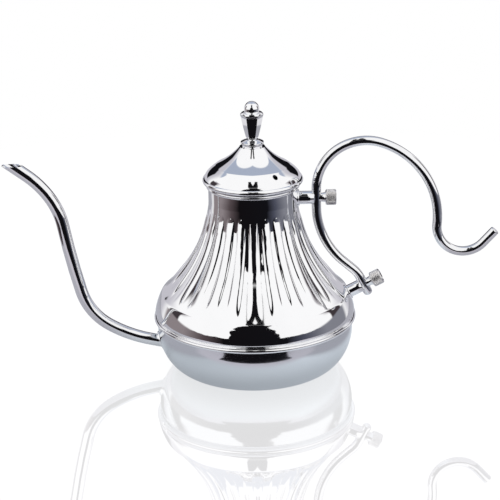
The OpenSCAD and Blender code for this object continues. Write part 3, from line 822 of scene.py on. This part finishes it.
class KETTLE_OT_lid(bpy.types.Operator):
    """Spins the domed lid with its rolled hem and drills the vent"""
    bl_idname = "kettle.lid"
    bl_label = "Lid"

    def execute(self, context):
        s = sizes()
        flange, hem, hem_r, hem_up = 0.8 * MM, 1.7 * MM, 31.8 * MM, 1.6 * MM
        stud_r, vent_r, vent_at, vent_turn = 1.5 * MM, 1.6 * MM, 25.8 * MM, radians(-57.4)
        centre = (hem_r - hem, s.mouth_z + flange + hem_up)
        crease = (23.3 * MM, s.mouth_z + 12 * MM)
        top = (8 * MM, s.mouth_z + 24.1 * MM)
        start = (centre[0] + 0.3 * hem, centre[1] + 0.75 * hem)
        dome = [start] + cubic(start, (start[0] - 0.5 * MM, start[1] + 3.6 * MM),
                               (crease[0] + 2.6 * MM, crease[1] - 2.1 * MM), crease, 26)
        cone = bowed(crease, top, -1 * MM, 18)[1:]
        inner = shifted(dome + cone, -s.sheet)
        roll = arc(centre, hem, degrees(asin(-hem_up / hem)), 48, 16)
        outline = roll + dome[1:] + cone
        outline += [(stud_r, top[1]), (stud_r, top[1] - s.sheet), (top[0] - s.sheet, top[1] - s.sheet)]
        outline += list(reversed(inner))[1::3]
        outline += [(centre[0] - 1.5 * MM, centre[1]), (centre[0] - 0.55 * MM, roll[0][1])]
        mesh = lathe("lid", outline, round_steps(192))
        drill = [(0, 0), (vent_r, 0), (vent_r, 24 * MM), (0, 24 * MM)]
        hole = lathe("vent_cut", drill, round_steps(40), closed=False)
        hole.transform(Matrix.Translation((vent_at * cos(vent_turn), vent_at * sin(vent_turn), s.mouth_z)))
        mesh = drilled(mesh, hole, "lid")
        place("lid_dome", mesh, "kettle_steel", "lid_shell", "polished_steel", sharp=30)
        out, hang, seat = s.neck_r - s.sheet - 0.35 * MM, s.mouth_z - 10 * MM, s.mouth_z
        outline = [(out - s.sheet, hang), (out - 0.1 * MM, hang), (out, hang + 0.2 * MM), (out, seat),
                   (centre[0], seat), (centre[0], seat + flange), (out - s.sheet, seat + flange)]
        skirt = lathe("skirt", outline, round_steps(128))
        place("lid_inner_skirt", skirt, "kettle_steel", "lid_skirt", "polished_steel")
        return {"FINISHED"}


def bowed(a, b, bow, steps):
    """Points from a to b, pushed sideways by a parabola of the height bow."""
    dx, dz = b[0] - a[0], b[1] - a[1]
    size = hypot(dx, dz)
    made = []
    for i in range(steps + 1):
        t = i / steps
        lift = 4 * t * (1 - t) * bow
        made.append((a[0] + t * dx + lift * dz / size, a[1] + t * dz - lift * dx / size))
    return made


def drilled(mesh, cutter, name):
    """The mesh less the cutter."""
    body, tool = loose(mesh, name + "_blank"), loose(cutter, name + "_drill")
    cut = body.modifiers.new("drill", "BOOLEAN")
    cut.operation, cut.object, cut.solver = "DIFFERENCE", tool, "EXACT"
    made = baked(body, name)
    bpy.data.objects.remove(tool)
    return made


class KETTLE_OT_finial(bpy.types.Operator):
    """Turns the collar and cuts the six-sided knob with its cap"""
    bl_idname = "kettle.finial"
    bl_label = "Finial"

    def execute(self, context):
        s = sizes()
        foot_z, waist_z = s.mouth_z + 24.1 * MM, s.mouth_z + 24.1 * MM + 4.6 * MM
        collar = [(1.5, 0), (6.5, 0), (6.65, 0.15), (6.75, 1.2), (6.9, 1.75), (7.2, 2.0), (7.35, 2.35),
                  (7.35, 2.75), (7.2, 3.1), (6.5, 3.5), (5.0, 4.1), (4.0, 4.45), (3.8, 4.6), (1.5, 4.6)]
        mesh = lathe("collar", [(r * MM, foot_z + z * MM) for r, z in collar], round_steps(128))
        place("knob_collar", mesh, "kettle_steel", "finial_collar", "polished_steel", sharp=32)

        # each ring's radius, height, flatness and petal
        rings = [(2.9, 0.0, 0, 0), (2.85, 0.5, 0, 0), (3.1, 0.8, 0.2, 0), (3.7, 1.0, 0.8, 0),
                 (3.95, 1.5, 1, 0), (4.5, 3.6, 1, 0), (5.15, 6.2, 1, 0), (5.8, 9.0, 1, 0),
                 (6.35, 11.6, 1, 0), (6.75, 13.6, 1, 0), (6.9, 14.5, 1, 0), (7.0, 14.9, 0.9, 0.1),
                 (7.2, 15.3, 0.7, 0.25), (7.3, 15.9, 0.5, 0.45), (7.25, 16.4, 0.3, 0.5),
                 (6.95, 16.9, 0.15, 0.45), (6.4, 17.4, 0, 0.3), (5.6, 17.7, 0, 0.15),
                 (4.9, 17.85, 0, 0.05), (4.66, 18.1, 0, 0)]
        cap_r, cap_z, swell = 4.7, 19.8, 0.6 * MM
        rings += [(r, z, 0, 0) for r, z in [
            (cap_r * cos(radians(a)), cap_z + cap_r * sin(radians(a))) for a in range(-14, 90, 6)]]
        rows = [[(0, 0, waist_z)]]
        rows += [[six_sided(r * MM, a, flat, petal * swell) + (waist_z + z * MM,)
                  for a in round_steps(180)] for r, z, flat, petal in rings]
        rows.append([(0, 0, waist_z + (cap_z + cap_r) * MM)])
        knob = grid_mesh("knob", rows)
        place("knob", knob, "kettle_steel", "finial_knob", "polished_steel", sharp=22)
        return {"FINISHED"}


def six_sided(radius, angle, flat, petal):
    """A point on a ring: hexagonal for flat 1, round for flat 0, drawn in by petal at mid-side."""
    sixth = pi / 3
    off_middle = abs((angle + pi / 2 + sixth / 2) % sixth - sixth / 2)
    r = radius * (1 + flat * (cos(sixth / 2) / cos(off_middle) - 1))
    r -= petal * (cos(off_middle * 6) + 1) * 0.5
    return r * cos(angle), r * sin(angle)


class KETTLE_OT_fasteners(bpy.types.Operator):
    """Finishes the screw and washer inside the lid"""
    bl_idname = "kettle.fasteners"
    bl_label = "Inner Fasteners"

    def execute(self, context):
        for node in ("finial_screw", "finial_washer"):
            thing = frame["nodes"][node]
            thing.data.materials.clear()
            thing.data.materials.append(materials()["kettle_fastener_steel"])
        return {"FINISHED"}


# ---- stage --------------------------------------------------------------------------------

IS_CAMERA_RAY, IS_SINGULAR_RAY = 0, 4  # outputs of Light Path


def table_material():
    """A glossy white table with a faint mirror image. Its front is dark in what the kettle reflects. Elsewhere the
    kettle sees the table glow as painted light, with painted shade in its colour.
    """
    material, t, spot = surface_material("table_white")
    x, y, _ = t.split(spot)
    aside = x.absolute()
    seen = t.outputs(t.add("ShaderNodeLightPath"))[IS_CAMERA_RAY]
    floor = finishes().floor
    # painted shade in the table's colour: dimmer to the left and grey at the sides, the front edge and the back
    painted_dim_floor = t.mix_colour(x.step(-0.17, 0.20), (*[0.62 * c for c in floor], 1), (*floor, 1))
    painted_dim_floor = t.mix_colour(aside.step(0.075, 0.115), painted_dim_floor, (0.40, 0.40, 0.44, 1))
    near = t.mix_colour(y.step(-0.112, -0.08), (0.52, 0.50, 0.55, 1), painted_dim_floor)
    painted_shade_floor = t.mix_colour(y.step(0.12, 0.26), near, (0.36, 0.36, 0.39, 1))
    # the camera sees white with the kettle's shadow and a faint mirror image; other rays see the table glow in its
    # colour with painted shade, which is painted light
    matt = t.add("ShaderNodeBsdfDiffuse", None, [painted_shade_floor])
    glow = t.add("ShaderNodeEmission", None, [t.mix_colour(seen, painted_shade_floor, (1.14, 1.14, 1.14, 1)), 1.0])
    glowing_floor = t.mix_shader(seen * 0.24 + 0.6, matt, glow)
    gloss = t.add("ShaderNodeBsdfGlossy", None, {"Color": (1, 1, 1, 1), "Roughness": 0.0})
    mirror = t.mix_shader(seen * 0.3, glowing_floor, gloss)
    # in the kettle's reflections the table ends at a bent front edge and at both sides
    front = t.ramp(aside, 0.082, 0.122, -0.122, -0.205)
    past = (1.0 - (y - front).step(-0.002, 0.002)).high(aside.step(0.268, 0.272)) * (1.0 - seen)
    t.finish(t.mix_shader(past, mirror, t.add("ShaderNodeBsdfTransparent")))
    return material


def tent_material(roof):
    """The light tent: white walls and lamps, a dark front opening, dim corners and a blue-grey roof."""
    material, t, spot = surface_material("tent_cloth")
    x, y, z = t.split(spot)
    turn = x.math("ARCTAN2", y * -1.0) * (180 / pi)  # degrees from the front
    side, aside = turn.absolute(), x.absolute()

    def between(value, start, full, fall, end):
        """1 from full to fall, 0 before start and after end."""
        return value.step(start, full) * (1.0 - value.step(fall, end))

    on_roof = z.step(roof - 0.07, roof - 0.02)
    # dark: a band below, an opening in front that narrows upwards, and two slits in the roof
    low_band = (1.0 - z.step(0.085, 0.11)) * (1.0 - side.step(116.0, 124.0))
    ripple = t.noise(spot, 9.0, 2.0)
    reach = t.ramp(z, 0.085, 0.135, 85.0, 14.0).high(t.ramp(z, 0.115, 0.42, 30.0, 14.0))
    reach = reach + (ripple - 0.5) * 46.0
    opening = (1.0 - side.step(reach - 1.0, reach + 1.0)) * (1.0 - on_roof)
    gap = t.ramp(y, -0.42, -0.15, 0.060, 0.016)
    slit = 1.0 - ((aside - 0.045).absolute() - gap).step(0.0, 0.008)
    slit = slit * on_roof * (1.0 - y.step(-0.12, -0.10))
    # grey or nearly black: the corners beside the back, the back itself, the flanks and the roof's rear
    corner = between(side, 94.0, 97.0, 114.0, 118.0) * (1.0 - z.step(0.34, 0.40))
    rear = side.step(136.0, 139.0) * between(z, 0.165, 0.18, 0.40, 0.44) * (1.0 - on_roof)
    back = side.step(116.0, 136.0) * (1.0 - on_roof)
    white = (1.0, 1.0, 1.0, 1)
    shade = t.mix_colour(back, white, (0.56, 0.55, 0.60, 1))
    flank = between(side, 84.0, 98.0, 106.0, 112.0) * between(z, 0.16, 0.26, 0.40, 0.46)
    shade = t.mix_colour(flank, shade, (0.40, 0.38, 0.40, 1))
    ceiling = on_roof * (y - aside * 0.6).step(-0.03, -0.005)
    shade = t.mix_colour(ceiling, shade, (0.40, 0.45, 0.56, 1))
    shade = t.mix_colour(rear, shade, (0.006, 0.006, 0.008, 1))
    shade = t.mix_colour(corner, shade, (0.05, 0.04, 0.045, 1))
    narrow = z.step(-0.09, -0.05) * 0.8 + 1.0
    dark = t.add("ShaderNodeValToRGB", {"stops": [
        (0.0, (0.26, 0.225, 0.235, 1)), (0.16, (0.085, 0.065, 0.07, 1)), (0.30, (0.006, 0.005, 0.006, 1)),
        (0.70, (0.006, 0.006, 0.008, 1)), (0.82, (0.07, 0.075, 0.105, 1)), (1.0, (0.22, 0.225, 0.26, 1))]},
        [turn / 300.0 * narrow + 0.5])
    shade = t.mix_colour(low_band.high(opening).high(slit), shade, dark)
    rays = t.outputs(t.add("ShaderNodeLightPath"))
    shade = t.mix_colour(rays[IS_SINGULAR_RAY], shade, white)  # the table's mirror sees plain white
    glow = t.add("ShaderNodeEmission", None, [shade, 1.0])
    t.finish(t.mix_shader(rays[IS_CAMERA_RAY], glow, t.add("ShaderNodeBsdfTransparent")))
    return material


class KETTLE_OT_stage(bpy.types.Operator):
    """Sets the pale table, the tent's light and the camera"""
    bl_idname = "kettle.stage"
    bl_label = "Table, Light and Camera"

    def execute(self, context):
        scene = bpy.context.scene
        scene.view_settings.view_transform = "Standard"
        table_r, radius, roof = 0.54, 0.55, 0.62
        table = bpy.data.meshes.new("table")
        rim = [(table_r * cos(a), table_r * sin(a), 0) for a in round_steps(64)]
        table.from_pydata(rim, [], [range(len(rim))])
        floor = loose(table, "table")
        table.materials.append(table_material())

        depth, slope = -0.6, 0.08
        outline = [(0, depth), (radius, depth), (radius, roof - slope), (radius - slope, roof), (0, roof)]
        tent = loose(lathe("tent", outline, round_steps(96), closed=False), "tent")
        tent.data.materials.append(tent_material(roof))

        world = bpy.data.worlds.new("white_room")
        world.use_nodes = True
        world.node_tree.nodes.clear()
        t = Tree(world.node_tree)
        t.add("ShaderNodeOutputWorld", None, [t.add("ShaderNodeBackground", None, [(1, 1, 1, 1), 1.0])])
        scene.world = world

        light = bpy.data.lights.new("overhead", "AREA")
        light.energy, light.size, light.shape = 3.0, 0.5, "SQUARE"
        lamp = bpy.data.objects.new("overhead", light)
        lamp.location = (-0.1, 0.1, 0.58)
        lamp.visible_glossy = False
        scene.collection.objects.link(lamp)

        view = bpy.data.cameras.new("camera")
        view.lens, view.sensor_width = 135.6, 36
        view.shift_x, view.shift_y = -0.0071, -0.0484
        camera = bpy.data.objects.new("camera", view)
        eye, target, roll = Vector((0, -1.1333, 0.4886)), Vector((0, 0, 0.094)), radians(-0.924)
        aim = (target - eye).to_track_quat("-Z", "Y").to_matrix().to_4x4()
        camera.matrix_world = Matrix.Translation(eye) @ aim @ Matrix.Rotation(roll, 4, "Z")
        scene.collection.objects.link(camera)
        scene.camera = camera
        return {"FINISHED"}


STEPS = ("stage", "bowl", "body", "bands", "spout", "handle", "posts", "screws", "lid", "finial",
         "fasteners")


class KETTLE_PT_panel(bpy.types.Panel):
    """Lists the kettle's sizes, finishes and steps"""
    bl_idname = "KETTLE_PT_panel"
    bl_label = "Gooseneck Kettle"
    bl_space_type = "VIEW_3D"
    bl_region_type = "UI"
    bl_category = "Kettle"

    def draw(self, context):
        for group in (context.scene.kettle_sizes, context.scene.kettle_finishes):
            column = self.layout.column(align=True)
            for name in group.__annotations__:
                column.prop(group, name)
        for step in STEPS:
            self.layout.operator("kettle." + step)


CLASSES = (KettleSizes, KettleFinishes, KETTLE_OT_bowl, KETTLE_OT_body, KETTLE_OT_bands, KETTLE_OT_spout,
           KETTLE_OT_handle, KETTLE_OT_posts, KETTLE_OT_screws, KETTLE_OT_lid, KETTLE_OT_finial,
           KETTLE_OT_fasteners, KETTLE_OT_stage, KETTLE_PT_panel)


def register():
    for cls in CLASSES:
        bpy.utils.register_class(cls)
    bpy.types.Scene.kettle_sizes = bpy.props.PointerProperty(type=KettleSizes)
    bpy.types.Scene.kettle_finishes = bpy.props.PointerProperty(type=KettleFinishes)


def unregister():
    del bpy.types.Scene.kettle_finishes
    del bpy.types.Scene.kettle_sizes
    for cls in reversed(CLASSES):
        bpy.utils.unregister_class(cls)


def main():
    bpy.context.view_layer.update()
    register()
    for step in STEPS:
        getattr(bpy.ops.kettle, step)()


if __name__ == "__main__":
    main()
